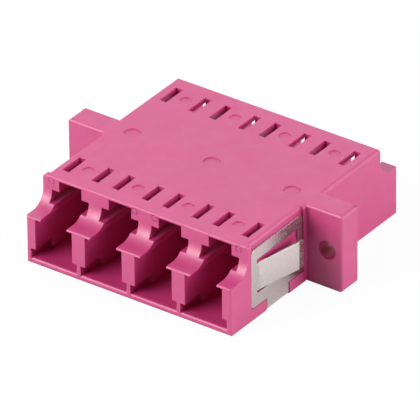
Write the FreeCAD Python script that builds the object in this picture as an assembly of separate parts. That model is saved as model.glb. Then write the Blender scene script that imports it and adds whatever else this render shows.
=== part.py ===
"""Four-port LC fibre adapter with a mounting flange and a sprung panel clip.

Millimetres. X runs across the ports, Y along the fibres, Z up. The origin is in
the middle of the footprint, on the face that the adapter stands on. The front
and the rear of the housing are alike, apart from the pocket for the clip, which
is cut into the front half.
"""
import math
import os

import FreeCAD, Part

Vector = FreeCAD.Vector

# ---- Ports, one opening in section from the floor upwards ----
port_count = 4
port_pitch = 6.25
floor_thickness = 0.77
bore_width = 4.65           # takes the square body of the plug
bore_height = 4.65
rail_gap = 3.31             # the key of the plug runs between the two rails
rail_height = 0.78
groove_height = 1.35        # the ears of the latch run in this groove
block_gap = 2.83            # the latch arm runs between the two catch blocks
block_height = 1.25
mouth_roof = 0.30           # roof over the latch arm, between the blocks
latch_roof = 0.60           # roof over the latch arm, behind the blocks
end_wall = 1.10
corner_notch_width = 5.80   # widened lower corners at the mouth of each bore
corner_notch_height = 1.10
corner_notch_depth = 3.0

# ---- Housing along the fibres ----
housing_depth = 29.4
scoop_depth = 3.0           # how far the full-height part is set back at each end
scoop_radius = 1.85
ledge_cap = 0.22            # material between the top of a bore and the ledge
block_depth = 1.70
latch_window_length = 3.05
latch_window_gap = 2.78     # between the two windows of one port
latch_window_width = 0.89
latch_overrun = 2.20        # the latch room runs on past the end of the windows
web_thickness = 3.0         # middle wall between the two sleeve holders of a port

# ---- Outer edges of the housing ----
upright_corner_radius = 0.20
top_side_radius = 0.40
bottom_side_radius = 0.20
end_edge_radius = 0.16
end_foot_radius = 0.40      # lower edge of each end
floor_lip_radius = 0.25

# ---- Flange ----
flange_thickness = 2.9
flange_reach = 4.40         # beyond each side of the housing
flange_corner_radius = 0.45
flange_edge_radius = 0.25
screw_hole_diameter = 2.15
screw_hole_inset = 1.85     # from the outer edge of the flange

# ---- Marks that the mould leaves on the housing ----
mark_depth = 0.12
roof_mark_diameter = 1.85
roof_mark_spacing = 10.0
latch_mark_diameter = 1.30

# ---- Panel clip, one bent steel sheet ----
sheet = 0.24
clip_sink = 0.03            # outer face of the clip below the face of the housing
clip_gap = 0.03             # between the clip and the wall or floor that it lies on
foot_height = 1.40          # the side walls keep their full width below the plates
flange_rib = 0.50           # full-width rib of the side wall, against the flange
plate_length = 8.90
plate_height = 6.80
plate_foot_gap = 0.06       # from the feet of the side wall to the lower edge of the plate
plate_rib_gap = 0.20        # from the rear edge of the plate to the rib
plate_front_gap = 0.05      # from the front edge of the plate to the end of the recess
plate_upper_corner = 0.50
plate_lower_corner = 0.40
plate_rear_strip = 0.65     # behind the opening that the tongue is cut from
strap_width = 3.75
strap_offset = 2.70         # from the front edge of the plate to the strap
strap_bend_radius = 0.10    # inner radius
strap_margin = 0.15         # along the edges of the strap, in its groove
tongue_root = 1.40          # from the front edge of the plate to the bend
tongue_height = 3.22
tongue_bottom = 3.20
tongue_slit_above = 0.50
tongue_slit_below = 0.28
tongue_slit_setback = 0.45  # the slits run this far ahead of the bend
tongue_length = 5.52
tongue_angle = 11.8
tongue_bend_radius = 0.40
tongue_tip_length = 0.85    # the tip lies parallel to the plate
tongue_tip_corner = 0.35

# ---- Sleeves and their holders ----
ferrule_diameter = 1.25
sleeve_wall = 0.19
sleeve_length = 6.8
sleeve_slit = 0.25
sleeve_play = 0.05          # around the sleeve, and at each end of it
holder_outer_diameter = 2.60
holder_plate_thickness = 0.70   # square plate at the end of a bore
holder_lip = 0.45           # the lip that keeps the sleeve in is one funnel
holder_lip_diameter = 1.45
holder_mouth_diameter = 1.95
seat_clearance = 0.02       # around a holder, in the bore and the middle wall

# ---- Worked out from the sizes above ----
bore_top = floor_thickness + bore_height
rail_top = bore_top + rail_height
groove_top = rail_top + groove_height
housing_height = groove_top + block_height + mouth_roof
housing_half_width = (port_count - 1) * port_pitch / 2 + bore_width / 2 + end_wall
housing_half_depth = housing_depth / 2
roof_half_depth = housing_half_depth - scoop_depth
ledge_height = bore_top + ledge_cap
web_half = web_thickness / 2
flange_half_width = housing_half_width + flange_reach
flange_half = flange_thickness / 2
port_centres = [(i - (port_count - 1) / 2) * port_pitch for i in range(port_count)]
port_axis_height = floor_thickness + bore_height / 2
window_front = roof_half_depth - block_depth
window_back = window_front - latch_window_length
latch_back = window_back - latch_overrun

clip_outer = housing_half_width - clip_sink
clip_inner = clip_outer - sheet
recess_wall = clip_inner - clip_gap
rib_front = -flange_half - flange_rib
plate_back = rib_front - plate_rib_gap
plate_front = plate_back - plate_length
recess_front = plate_front - plate_front_gap
plate_bottom = foot_height + plate_foot_gap
plate_top = plate_bottom + plate_height
strap_front = plate_front + strap_offset
strap_back = strap_front + strap_width
strap_under = clip_gap
tongue_top = tongue_bottom + tongue_height
tongue_start = plate_front + tongue_root - tongue_slit_setback

sleeve_outer_diameter = ferrule_diameter + 2 * sleeve_wall
sleeve_room_half = sleeve_length / 2 + sleeve_play
holder_reach = sleeve_room_half + holder_lip
beyond = 1.0                # cutters run this far past the faces they cut


# ---------------------------------------------------------------- helpers
def block(x0, x1, y0, y1, z0, z1):
    """A box from its lowest to its highest corner."""
    return Part.makeBox(x1 - x0, y1 - y0, z1 - z0, Vector(x0, y0, z0))


def on_plan(u, v):
    return Vector(u, v, 0)


def on_front(u, v):
    return Vector(u, 0, v)


def on_side(u, v):
    return Vector(0, u, v)


def outline(corners, place):
    """A flat face from corners (u, v, radius), each rounded by its own radius."""
    starts, ends, edges = [], [], []
    for index, (u, v, radius) in enumerate(corners):
        here = place(u, v)
        before = place(*corners[index - 1][:2])
        after = place(*corners[(index + 1) % len(corners)][:2])
        to_before = (before - here).normalize()
        to_after = (after - here).normalize()
        if radius <= 0:
            starts.append(here)
            ends.append(here)
            continue
        half_angle = to_before.getAngle(to_after) / 2
        reach = radius / math.tan(half_angle)
        first = here + to_before * reach
        last = here + to_after * reach
        middle_line = (to_before + to_after).normalize()
        middle = here + middle_line * (radius / math.sin(half_angle) - radius)
        edges.append(Part.Arc(first, middle, last).toShape())
        starts.append(first)
        ends.append(last)
    for index, end in enumerate(ends):
        start = starts[(index + 1) % len(starts)]
        if end.distanceToPoint(start) > 1e-6:
            edges.append(Part.LineSegment(end, start).toShape())
    return Part.Face(Part.Wire(Part.__sortEdges__(edges)))


def prism(corners, place, start, length):
    """The outline drawn at a distance along its normal, and given a length."""
    face = outline(corners, place)
    normal = place(1, 0).cross(place(0, 1))
    if place is on_front:
        normal = -normal
    face.translate(normal * start)
    return face.extrude(normal * length)


def rectangle(u0, u1, v0, v1, lower_radius=0.0, upper_radius=0.0):
    """Corners of a rectangle, for outline."""
    return [
        (u0, v0, lower_radius),
        (u1, v0, lower_radius),
        (u1, v1, upper_radius),
        (u0, v1, upper_radius),
    ]


def across_y(diameter, x, z, y0, y1):
    """A cylinder along the fibres."""
    return Part.makeCylinder(diameter / 2, y1 - y0, Vector(x, y0, z), Vector(0, 1, 0))


def cone_y(diameter0, diameter1, x, z, y0, y1):
    """A cone along the fibres, from its first diameter to its second."""
    base = Vector(x, y0, z)
    return Part.makeCone(diameter0 / 2, diameter1 / 2, y1 - y0, base, Vector(0, 1, 0))


def both_sides(shape, normal):
    """The shape and its mirror image about the plane through the origin."""
    return [shape, shape.mirror(Vector(0, 0, 0), normal)]


def both_ends(shape):
    return both_sides(shape, Vector(0, 1, 0))


def mirrored_x(shape):
    return both_sides(shape, Vector(1, 0, 0))


# ---------------------------------------------------------------- housing
def from_three_views(side_view, front_view, half_width, half_depth, upright_radius):
    """A form as tall as the housing: its side view, front view and plan cut each other."""
    plan = rectangle(-half_width, half_width, -half_depth, half_depth, upright_radius, upright_radius)
    body = prism(side_view, on_side, -half_width, 2 * half_width)
    body = body.common(prism(plan, on_plan, 0, housing_height))
    return body.common(prism(front_view, on_front, -half_depth, 2 * half_depth))


def housing_blank():
    """The outer form, with a scoop along the top of each end."""
    depth, height, width = housing_half_depth, housing_height, housing_half_width
    side_view = [
        (-depth, 0, end_foot_radius),
        (depth, 0, end_foot_radius),
        (depth, ledge_height, end_edge_radius),
        (roof_half_depth, ledge_height, scoop_radius),
        (roof_half_depth, height, end_edge_radius),
        (-roof_half_depth, height, end_edge_radius),
        (-roof_half_depth, ledge_height, scoop_radius),
        (-depth, ledge_height, end_edge_radius),
    ]
    front_view = rectangle(-width, width, 0, height, bottom_side_radius, top_side_radius)
    return from_three_views(side_view, front_view, width, depth, upright_corner_radius)


def side_recess_cutter():
    """Everything outside the narrower section that the clip lies against."""
    length = rib_front - recess_front
    outer = housing_half_width + beyond
    top = housing_height + beyond
    ring = block(-outer, outer, recess_front, recess_front + length, foot_height, top)
    core = rectangle(-recess_wall, recess_wall, 0, housing_height, 0, top_side_radius)
    return ring.cut(prism(core, on_front, recess_front, length))


def strap_cutters():
    """The groove for the strap under the housing, and its slot up each side."""
    outer = housing_half_width + beyond
    front = strap_front - strap_margin
    back = strap_back + strap_margin
    slot = block(recess_wall, outer, front, back, -beyond, foot_height + beyond)
    groove = block(-outer, outer, front, back, -beyond, strap_under + sheet + clip_gap)
    return mirrored_x(slot) + [groove]


def flange():
    """The mounting flange, with its two screw holes."""
    width, height = flange_half_width, housing_height
    edge, corner = flange_edge_radius, flange_corner_radius
    side_view = rectangle(-flange_half, flange_half, 0, height, edge, edge)
    front_view = rectangle(-width, width, 0, height, corner, corner)
    plate = from_three_views(side_view, front_view, width, flange_half, edge)
    return plate.cut(mirrored_x(screw_hole_cutter()))


def screw_hole_cutter():
    """One screw hole through the flange, along the fibres."""
    x = flange_half_width - screw_hole_inset
    return across_y(screw_hole_diameter, x, housing_height / 2, -flange_half, flange_half)


def port_cutter(x):
    """The opening of one port, at the front end."""
    mouth = -housing_half_depth - beyond
    half_bore = bore_width / 2
    bore = block(x - half_bore, x + half_bore, mouth, -web_half, floor_thickness, bore_top)
    slot = block(x - rail_gap / 2, x + rail_gap / 2, mouth, -latch_back, bore_top, rail_top)
    groove = block(x - half_bore, x + half_bore, mouth, -latch_back, rail_top, groove_top)
    channel_top = housing_height - mouth_roof
    channel = block(x - block_gap / 2, x + block_gap / 2, mouth, -window_front, groove_top, channel_top)
    room_top = housing_height - latch_roof
    room = block(x - half_bore, x + half_bore, -window_front, -latch_back, groove_top, room_top)
    half_notch = corner_notch_width / 2
    notch_end = -housing_half_depth + corner_notch_depth
    notch_top = floor_thickness + corner_notch_height
    notch = block(x - half_notch, x + half_notch, mouth, notch_end, floor_thickness, notch_top)
    return bore.fuse([slot, groove, channel, room, notch, floor_lip_cutter(x)])


def floor_lip_cutter(x):
    """Rounds the upper front edge of the floor, across one port."""
    front, top, radius = -housing_half_depth, floor_thickness, floor_lip_radius
    half = corner_notch_width / 2
    corner = block(x - half, x + half, front - beyond, front + radius, top - radius, top + beyond)
    centre = Vector(x - half, front + radius, top - radius)
    return corner.cut(Part.makeCylinder(radius, 2 * half, centre, Vector(1, 0, 0)))


def latch_window_cutter(x, side):
    """A window in the roof, for one ear of the latch."""
    near = latch_window_gap / 2
    far = near + latch_window_width
    low, high = sorted((x + side * near, x + side * far))
    bottom = housing_height - latch_roof - beyond
    top = housing_height + beyond
    return block(low, high, -window_front, -window_back, bottom, top)


def holder_seat_cutter(x):
    """The hole through the middle wall, for the barrels of a pair of sleeve holders."""
    through = holder_outer_diameter + 2 * seat_clearance
    return across_y(through, x, port_axis_height, -web_half, web_half)


def mould_mark_cutters():
    """Shallow round marks on the roof, in a row along the flange and between the windows."""
    marks = []
    roof = housing_height - mark_depth
    up = Vector(0, 0, 1)
    for step in (-1, 0, 1):
        spot = Vector(step * roof_mark_spacing, 0, roof)
        marks.append(Part.makeCylinder(roof_mark_diameter / 2, beyond, spot, up))
    latch_middle = (window_front + window_back) / 2
    for x in port_centres:
        spot = Vector(x, -latch_middle, roof)
        marks.extend(both_ends(Part.makeCylinder(latch_mark_diameter / 2, beyond, spot, up)))
    return marks


def housing():
    """The one-piece moulding."""
    body = housing_blank().cut(side_recess_cutter())
    body = body.fuse(flange())
    cutters = strap_cutters()
    for x in port_centres:
        cutters += both_ends(port_cutter(x))
        cutters += both_ends(latch_window_cutter(x, -1))
        cutters += both_ends(latch_window_cutter(x, 1))
        cutters.append(holder_seat_cutter(x))
    body = body.cut(cutters)
    return body.cut(mould_mark_cutters()).removeSplitter()


# ---------------------------------------------------------------- panel clip
def bent_strip(path, thickness, inner_radius, place, start, length):
    """A sheet bent along a path of points, given a width by extrusion."""
    left = offset_path(path, 0)
    right = offset_path(path, thickness)
    corners = []
    for index, (u, v) in enumerate(left):
        corners.append((u, v, bend_radius(path, index, inner_radius, thickness, 0)))
    for index in reversed(range(len(right))):
        u, v = right[index]
        corners.append((u, v, bend_radius(path, index, inner_radius, thickness, 1)))
    return prism(corners, place, start, length)


def turn(path, index):
    """The signed turn at a point of the path, positive to the left."""
    if index in (0, len(path) - 1):
        return 0.0
    ax, ay = path[index][0] - path[index - 1][0], path[index][1] - path[index - 1][1]
    bx, by = path[index + 1][0] - path[index][0], path[index + 1][1] - path[index][1]
    return math.atan2(ax * by - ay * bx, ax * bx + ay * by)


def bend_radius(path, index, inner_radius, thickness, side):
    """Radius on the first or the second face of the sheet at a bend."""
    angle = turn(path, index)
    if abs(angle) < 1e-9:
        return 0.0
    inner_side = 0 if angle > 0 else 1
    return inner_radius if side == inner_side else inner_radius + thickness


def offset_path(path, distance):
    """The path moved to its right by a distance, with mitred corners."""
    moved = []
    for index, (u, v) in enumerate(path):
        normals = []
        for a, b in ((index - 1, index), (index, index + 1)):
            if a < 0 or b >= len(path):
                continue
            du, dv = path[b][0] - path[a][0], path[b][1] - path[a][1]
            run = math.hypot(du, dv)
            normals.append((dv / run, -du / run))
        nu = sum(n[0] for n in normals) / len(normals)
        nv = sum(n[1] for n in normals) / len(normals)
        scale = distance / (nu * nu + nv * nv)
        moved.append((u + nu * scale, v + nv * scale))
    return moved


def clip_strap():
    """The U that passes under the housing, up into the side plates."""
    top = plate_bottom + plate_lower_corner
    path = [
        (-clip_inner, top),
        (-clip_inner, strap_under + sheet),
        (clip_inner, strap_under + sheet),
        (clip_inner, top),
    ]
    return bent_strip(path, sheet, strap_bend_radius, on_front, strap_front, strap_width)


def clip_plate():
    """One side plate, with the opening that its tongue is cut from."""
    lower, upper = plate_lower_corner, plate_upper_corner
    section = rectangle(plate_front, plate_back, plate_bottom, plate_top, lower, upper)
    plate = prism(section, on_side, clip_inner, sheet)
    back = plate_back - plate_rear_strip
    low = tongue_bottom - tongue_slit_below
    high = tongue_top + tongue_slit_above
    rounding = tongue_slit_below / 2
    opening = rectangle(tongue_start, back, low, high, rounding, rounding)
    return plate.cut(prism(opening, on_side, clip_inner - beyond, sheet + 2 * beyond))


def clip_tongue():
    """The tongue that springs outwards and holds the panel against the flange."""
    rise = math.radians(tongue_angle)
    bend = plate_front + tongue_root
    knee = (clip_inner + tongue_length * math.sin(rise), bend + tongue_length * math.cos(rise))
    end = (knee[0], knee[1] + tongue_tip_length)
    path = [(clip_inner, tongue_start), (clip_inner, bend), knee, end]
    strip = bent_strip(path, sheet, tongue_bend_radius, on_plan, tongue_bottom, tongue_height)
    side_view = [
        (tongue_start, tongue_bottom, 0),
        (end[1], tongue_bottom, tongue_tip_corner),
        (end[1], tongue_top, tongue_tip_corner),
        (tongue_start, tongue_top, 0),
    ]
    return strip.common(prism(side_view, on_side, clip_inner - beyond, knee[0] - clip_inner + 2 * beyond))


def panel_clip():
    """One bent sheet: a strap, two side plates and a tongue on each."""
    half = clip_plate().fuse(clip_tongue())
    return clip_strap().fuse(mirrored_x(half)).removeSplitter()


# ---------------------------------------------------------------- sleeves and holders
def split_sleeve(x):
    """The slit sleeve that lines two ferrules up."""
    half = sleeve_length / 2
    tube = across_y(sleeve_outer_diameter, x, port_axis_height, -half, half)
    tube = tube.cut(across_y(ferrule_diameter, x, port_axis_height, -half, half))
    slit_top = port_axis_height + sleeve_outer_diameter
    slit = block(x - sleeve_slit / 2, x + sleeve_slit / 2, -half, half, port_axis_height, slit_top)
    return tube.cut(slit)


def sleeve_holder(x):
    """The front half of the barrel around a sleeve, on a plate that fills the bore."""
    z = port_axis_height
    barrel = across_y(holder_outer_diameter, x, z, -holder_reach, 0)
    half = bore_width / 2 - seat_clearance
    low, high = floor_thickness + seat_clearance, bore_top - seat_clearance
    plate = block(x - half, x + half, -web_half - holder_plate_thickness, -web_half, low, high)
    room = across_y(sleeve_outer_diameter + 2 * sleeve_play, x, z, -sleeve_room_half, 0)
    funnel = cone_y(holder_mouth_diameter, holder_lip_diameter, x, z, -holder_reach, -sleeve_room_half)
    return barrel.fuse(plate).cut([room, funnel])


# ---------------------------------------------------------------- output
def save(shape, node):
    shape.exportStep(os.path.join("parts", node + ".step"))
    box = shape.BoundBox
    print(node, "solids", len(shape.Solids), "valid", shape.isValid(), "volume", round(shape.Volume, 3),
          "x", round(box.XMin, 3), round(box.XMax, 3), "y", round(box.YMin, 3), round(box.YMax, 3),
          "z", round(box.ZMin, 3), round(box.ZMax, 3))


def main():
    os.makedirs("parts", exist_ok=True)
    save(housing(), "housing")
    save(panel_clip(), "panel_clip")
    for number, x in enumerate(port_centres, start=1):
        holder = sleeve_holder(x)
        save(split_sleeve(x), "split_sleeve_%d" % number)
        save(holder, "sleeve_holder_front_%d" % number)
        save(holder.mirror(Vector(0, 0, 0), Vector(0, 1, 0)), "sleeve_holder_rear_%d" % number)


main()
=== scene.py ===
"""Looks of the four-port fibre adapter: moulded plastic, rolled steel and ground ceramic."""
import math

import bpy
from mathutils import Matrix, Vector


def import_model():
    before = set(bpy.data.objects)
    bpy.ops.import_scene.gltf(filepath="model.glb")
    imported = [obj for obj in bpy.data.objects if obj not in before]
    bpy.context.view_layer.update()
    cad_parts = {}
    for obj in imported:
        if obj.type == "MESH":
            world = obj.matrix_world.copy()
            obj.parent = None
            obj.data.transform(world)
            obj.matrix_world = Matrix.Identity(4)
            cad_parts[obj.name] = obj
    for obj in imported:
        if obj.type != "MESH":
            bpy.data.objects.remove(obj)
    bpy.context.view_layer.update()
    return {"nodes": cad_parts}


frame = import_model()

MM = 0.001

# ---- Camera, aimed at the point of the object's frame that its axis passes ----
CAMERA_AZIMUTH = 35.902         # degrees, from -Y towards +X
CAMERA_ELEVATION = 31.323       # degrees
CAMERA_ROLL = -0.664            # degrees
CAMERA_DISTANCE = 1043.378      # mm
CAMERA_RIGHT = -0.281           # mm, shift of the aim across the picture
CAMERA_UP = 2.823               # mm, shift of the aim up the picture
CAMERA_LENS = 872.08            # mm
SENSOR_WIDTH = 36.0             # mm
CAMERA_CLIP = (0.05, 10.0)      # m

# ---- Lamps: name, azimuth and elevation in degrees, side in m, power in W ----
LAMPS = (
    ("key", -32, 29, 0.42, 4.6),
    ("fill", 104, 22, 0.50, 4.25),
    ("back", -145, 38, 0.90, 2.95),
)
LAMP_DISTANCE = 0.60            # m, from the aim
LAMP_AIM = (0, 0, 0.004)        # m, near the middle of the object

# ---- World and ground ----
WORLD_TO_CAMERA = 1.0           # strength, where 1 is white
WORLD_IN_GLOSS = 0.18
GROUND_HALF = 1.5               # m
GROUND_DEPTH = 0.02             # mm, below the underside of the object
GROUND_GREY = 0.44              # albedo under the lamps
GROUND_WHITE = 1.0              # albedo in reflections
GROUND_GLOW = 1.08              # strength of the part that glows
GLOW_TO_CAMERA = 0.87           # share of the ground that glows; the rest takes the shadow
GLOW_IN_GLOSS = 0.12

# ---- Round marks on the end faces of the catch blocks, mm ----
BLOCK_FACE = 11.70              # from the middle of the flange
BLOCK_FACE_REACH = 0.15         # how far from that face the marks still show
MARK_HEIGHT = 8.55
MARK_PLACES = (1.255, 11.70)    # on both sides of the middle
MARK_RADIUS = 0.35
MARK_GROOVE = 0.09              # half width of the ring
MARK_DEPTH = 0.10

# ---- Gate mark on the top of the flange, mm ----
GATE = (16.92, 1.28, 9.08)
GATE_RADIUS = 0.24
GATE_FLOOR = 0.3                # share of the radius that is flat
GATE_DEPTH = 0.30

# ---- Eased edges, mm ----
HOUSING_EDGE = 0.08
HOLDER_EDGE = 0.05
STEEL_EDGE = 0.05
ZIRCONIA_EDGE = 0.03

# ---- Colours, linear ----
MAGENTA = (0.530, 0.018, 0.168)
STEEL = (0.62, 0.565, 0.555)
ZIRCONIA = (0.86, 0.84, 0.78)

# ---- Surfaces ----
NOISE_RANGE = (0.3, 0.7)        # most of what a noise gives
PLASTIC_ROUGHNESS = (0.49, 0.57)
STEEL_ROUGHNESS = (0.18, 0.32)
ZIRCONIA_ROUGHNESS = 0.22


# ---------------------------------------------------------------- node helpers
def node(tree, kind, **settings):
    """A node. Each setting is an input's value, with _ for a space in its name, or a property."""
    made = tree.nodes.new("ShaderNode" + kind)
    for key, value in settings.items():
        socket = key.replace("_", " ")
        if socket in made.inputs:
            made.inputs[socket].default_value = value
        else:
            setattr(made, key, value)
    return made


def new_material(name):
    material = bpy.data.materials.new(name)
    material.use_nodes = True
    tree = material.node_tree
    tree.nodes.clear()
    return material, tree, node(tree, "OutputMaterial")


def principled(tree, output, **values):
    shader = node(tree, "BsdfPrincipled", **values)
    tree.links.new(shader.outputs["BSDF"], output.inputs["Surface"])
    return shader


def object_mm(tree):
    """Object coordinates in millimetres."""
    place = node(tree, "TexCoord")
    scale = node(tree, "VectorMath", operation="SCALE", Scale=1 / MM)
    tree.links.new(place.outputs["Object"], scale.inputs[0])
    return scale.outputs["Vector"]


def math_node(tree, operation, *values):
    """A Math node's result. Each value is a number or another node's output."""
    made = node(tree, "Math", operation=operation)
    for socket, value in zip(made.inputs, values):
        if isinstance(value, (int, float)):
            socket.default_value = value
        else:
            tree.links.new(value, socket)
    return made.outputs[0]


def noise(tree, vector, scale, detail=2.0, roughness=0.5):
    made = node(tree, "TexNoise", Scale=scale, Detail=detail, Roughness=roughness)
    tree.links.new(vector, made.inputs["Vector"])
    return made.outputs["Fac"]


def remap(tree, value, source, target=(0.0, 1.0)):
    """The value, taken from one range to another and held inside it."""
    made = node(
        tree, "MapRange", clamp=True,
        From_Min=source[0], From_Max=source[1], To_Min=target[0], To_Max=target[1],
    )
    tree.links.new(value, made.inputs["Value"])
    return made.outputs["Result"]


def mixed_colour(tree, fac, first, second):
    made = node(tree, "Mix", data_type="RGBA")
    colours = [s for s in made.inputs if s.type == "RGBA"]
    colours[0].default_value = (*first, 1)
    colours[1].default_value = (*second, 1)
    tree.links.new(fac, made.inputs["Factor"])
    return [s for s in made.outputs if s.type == "RGBA"][0]


def shade(colour, factor, lift=0.0):
    return tuple(min(1.0, c * factor + lift) for c in colour)


def bump(tree, height, distance_mm, strength, normal):
    made = node(tree, "Bump", Strength=strength, Distance=distance_mm * MM)
    tree.links.new(height, made.inputs["Height"])
    tree.links.new(normal, made.inputs["Normal"])
    return made.outputs["Normal"]


def bevel(tree, radius_mm):
    return node(tree, "Bevel", samples=6, Radius=radius_mm * MM).outputs["Normal"]


def seen(tree, to_camera, in_gloss):
    """One amount for camera rays, one for glossy and transmission rays, and none for the light."""
    path = node(tree, "LightPath").outputs
    reflected = math_node(tree, "MAXIMUM", path["Is Glossy Ray"], path["Is Transmission Ray"])
    direct = math_node(tree, "MULTIPLY", path["Is Camera Ray"], to_camera)
    return math_node(tree, "MAXIMUM", direct, math_node(tree, "MULTIPLY", reflected, in_gloss))


# ---------------------------------------------------------------- materials
def pin_marks(tree, place):
    """Height of the rings that ejector pins leave on the catch blocks: 0 in a ring, 1 elsewhere."""
    parts = node(tree, "SeparateXYZ")
    tree.links.new(place, parts.inputs[0])
    x = math_node(tree, "ABSOLUTE", parts.outputs["X"])
    y = math_node(tree, "ABSOLUTE", parts.outputs["Y"])
    off_face = math_node(tree, "ABSOLUTE", math_node(tree, "SUBTRACT", y, BLOCK_FACE))
    dz = math_node(tree, "SUBTRACT", parts.outputs["Z"], MARK_HEIGHT)
    nearest = None
    for mark_x in MARK_PLACES:
        dx = math_node(tree, "SUBTRACT", x, mark_x)
        squares = math_node(tree, "MULTIPLY", dx, dx)
        reach = math_node(tree, "SQRT", math_node(tree, "MULTIPLY_ADD", dz, dz, squares))
        nearest = reach if nearest is None else math_node(tree, "MINIMUM", nearest, reach)
    from_ring = math_node(tree, "ABSOLUTE", math_node(tree, "SUBTRACT", nearest, MARK_RADIUS))
    height = remap(tree, from_ring, (0.0, MARK_GROOVE))
    elsewhere = math_node(tree, "GREATER_THAN", off_face, BLOCK_FACE_REACH)
    return math_node(tree, "MAXIMUM", height, elsewhere)


def gate_mark(tree, place):
    """Height of the pit where the gate broke off: 0 inside, 1 outside."""
    spot = node(tree, "VectorMath", operation="DISTANCE")
    tree.links.new(place, spot.inputs[0])
    spot.inputs[1].default_value = GATE
    return remap(tree, spot.outputs["Value"], (GATE_FLOOR * GATE_RADIUS, GATE_RADIUS))


def moulded_plastic(name, edge_mm, grain, marked=False):
    """Satin polymer: eroded mould texture, slight flow variation and eased edges."""
    material, tree, output = new_material(name)
    shader = principled(
        tree, output, IOR=1.62, Specular_IOR_Level=1.0, Subsurface_Weight=0.45,
        Subsurface_Scale=0.45 * MM, Subsurface_Radius=(1.0, 0.08, 0.22),
    )
    place = object_mm(tree)
    flow = noise(tree, place, scale=0.16, detail=3.0)
    colour = mixed_colour(tree, flow, shade(MAGENTA, 0.94), shade(MAGENTA, 1.06, lift=0.004))
    tree.links.new(colour, shader.inputs["Base Color"])
    texture = noise(tree, place, scale=grain, detail=4.0, roughness=0.6)
    patches = noise(tree, place, scale=0.7)
    rough = remap(tree, patches, NOISE_RANGE, PLASTIC_ROUGHNESS)
    tree.links.new(rough, shader.inputs["Roughness"])
    normal = bevel(tree, edge_mm)
    if marked:
        normal = bump(tree, pin_marks(tree, place), MARK_DEPTH, 1.0, normal)
        normal = bump(tree, gate_mark(tree, place), GATE_DEPTH, 1.0, normal)
    normal = bump(tree, texture, 0.004, 0.55, normal)
    tree.links.new(normal, shader.inputs["Normal"])
    return material


def rolled_steel(name):
    """Cold-rolled spring strip, with rolling streaks along the strip and fine pits."""
    material, tree, output = new_material(name)
    shader = principled(tree, output, Metallic=1.0, Anisotropic=0.35)
    place = object_mm(tree)
    stretch = node(tree, "Mapping", Scale=(6.0, 0.8, 14.0))
    tree.links.new(place, stretch.inputs["Vector"])
    streaks = noise(tree, stretch.outputs["Vector"], scale=1.6, detail=5.0, roughness=0.65)
    pits = noise(tree, place, scale=7.0, detail=4.0, roughness=0.7)
    colour = mixed_colour(tree, streaks, shade(STEEL, 0.84), shade(STEEL, 1.12))
    tree.links.new(colour, shader.inputs["Base Color"])
    rough = remap(tree, pits, NOISE_RANGE, STEEL_ROUGHNESS)
    tree.links.new(rough, shader.inputs["Roughness"])
    normal = bump(tree, pits, 0.0035, 0.6, bevel(tree, STEEL_EDGE))
    normal = bump(tree, streaks, 0.004, 0.6, normal)
    tree.links.new(normal, shader.inputs["Normal"])
    return material


def ground_zirconia(name):
    """White sintered ceramic with centreless grinding rings round it."""
    material, tree, output = new_material(name)
    shader = principled(
        tree, output, IOR=2.1, Roughness=ZIRCONIA_ROUGHNESS, Subsurface_Weight=0.3,
        Subsurface_Scale=0.3 * MM, Subsurface_Radius=(1.0, 0.8, 0.6),
    )
    place = object_mm(tree)
    rings = node(
        tree, "TexWave", wave_type="BANDS", bands_direction="Y", Scale=6.0, Distortion=1.5,
    )
    tree.links.new(place, rings.inputs["Vector"])
    cloud = noise(tree, place, scale=1.4)
    colour = mixed_colour(tree, cloud, shade(ZIRCONIA, 0.95), ZIRCONIA)
    tree.links.new(colour, shader.inputs["Base Color"])
    normal = bump(tree, rings.outputs["Fac"], 0.0008, 0.5, bevel(tree, ZIRCONIA_EDGE))
    tree.links.new(normal, shader.inputs["Normal"])
    return material


def white_ground(name):
    """Diffuse ground that takes the shadow, paler in gloss, and shows as white to the camera."""
    material, tree, output = new_material(name)
    diffuse = node(tree, "BsdfDiffuse")
    glossy = node(tree, "LightPath").outputs["Is Glossy Ray"]
    paler = GROUND_WHITE - GROUND_GREY
    albedo = math_node(tree, "MULTIPLY_ADD", glossy, paler, GROUND_GREY)
    tree.links.new(albedo, diffuse.inputs["Color"])
    glow = node(tree, "Emission", Color=(1, 1, 1, 1), Strength=GROUND_GLOW)
    mix = node(tree, "MixShader")
    tree.links.new(seen(tree, GLOW_TO_CAMERA, GLOW_IN_GLOSS), mix.inputs["Fac"])
    tree.links.new(diffuse.outputs[0], mix.inputs[1])
    tree.links.new(glow.outputs[0], mix.inputs[2])
    tree.links.new(mix.outputs[0], output.inputs["Surface"])
    return material


def dress(prefix, material):
    """Gives the material to each CAD node whose name starts so."""
    for name, made in frame["nodes"].items():
        if name.startswith(prefix):
            made.data.materials.clear()
            made.data.materials.append(material)


# ---------------------------------------------------------------- stage
def place_in_scene(name, data):
    made = bpy.data.objects.new(name, data)
    bpy.context.scene.collection.objects.link(made)
    return made


def ground():
    mesh = bpy.data.meshes.new("ground")
    corners = [(-1, -1), (1, -1), (1, 1), (-1, 1)]
    z = -GROUND_DEPTH * MM
    points = [(x * GROUND_HALF, y * GROUND_HALF, z) for x, y in corners]
    mesh.from_pydata(points, [], [(0, 1, 2, 3)])
    plane = place_in_scene("ground", mesh)
    mesh.materials.append(white_ground("ground_white"))


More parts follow.
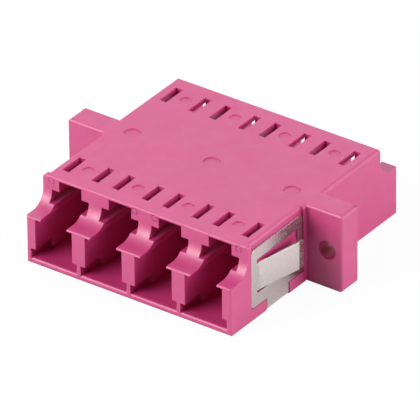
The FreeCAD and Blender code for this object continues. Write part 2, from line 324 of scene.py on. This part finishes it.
def world():
    made = bpy.data.worlds.new("studio")
    bpy.context.scene.world = made
    made.use_nodes = True
    tree = made.node_tree
    tree.nodes.clear()
    output = node(tree, "OutputWorld")
    back = node(tree, "Background", Color=(1, 1, 1, 1))
    strength = seen(tree, WORLD_TO_CAMERA, WORLD_IN_GLOSS)
    tree.links.new(strength, back.inputs["Strength"])
    tree.links.new(back.outputs[0], output.inputs["Surface"])


def direction(azimuth, elevation):
    """Unit vector from the object. The azimuth runs from -Y towards +X."""
    a, e = math.radians(azimuth), math.radians(elevation)
    return Vector((math.sin(a) * math.cos(e), -math.cos(a) * math.cos(e), math.sin(e)))


def lamp(name, azimuth, elevation, side, power):
    """A square area lamp, aimed at the object."""
    light = bpy.data.lights.new(name, "AREA")
    light.shape = "SQUARE"
    light.size = side
    light.energy = power
    made = place_in_scene(name, light)
    out = direction(azimuth, elevation)
    made.location = Vector(LAMP_AIM) + out * LAMP_DISTANCE
    made.rotation_euler = out.to_track_quat("Z", "Y").to_euler()


def camera():
    azimuth, roll = math.radians(CAMERA_AZIMUTH), math.radians(CAMERA_ROLL)
    back = direction(CAMERA_AZIMUTH, CAMERA_ELEVATION)
    level_right = Vector((math.cos(azimuth), math.sin(azimuth), 0))
    level_up = back.cross(level_right)
    right = level_right * math.cos(roll) + level_up * math.sin(roll)
    up = level_up * math.cos(roll) - level_right * math.sin(roll)
    data = bpy.data.cameras.new("camera")
    data.sensor_width = SENSOR_WIDTH
    data.lens = CAMERA_LENS
    data.clip_start, data.clip_end = CAMERA_CLIP
    made = place_in_scene("camera", data)
    place = (right * CAMERA_RIGHT + up * CAMERA_UP + back * CAMERA_DISTANCE) * MM
    matrix = made.matrix_world.copy()
    for row in range(3):
        matrix[row] = (right[row], up[row], back[row], place[row])
    made.matrix_world = matrix
    bpy.context.scene.camera = made


# ---------------------------------------------------------------- the scene
dress("housing", moulded_plastic("moulded_plastic", HOUSING_EDGE, grain=7.0, marked=True))
dress("sleeve_holder", moulded_plastic("holder_plastic", HOLDER_EDGE, grain=9.0))
dress("panel_clip", rolled_steel("rolled_steel"))
dress("split_sleeve", ground_zirconia("ground_zirconia"))

ground()
world()
for settings in LAMPS:
    lamp(*settings)
camera()
bpy.context.scene.view_settings.view_transform = "Standard"
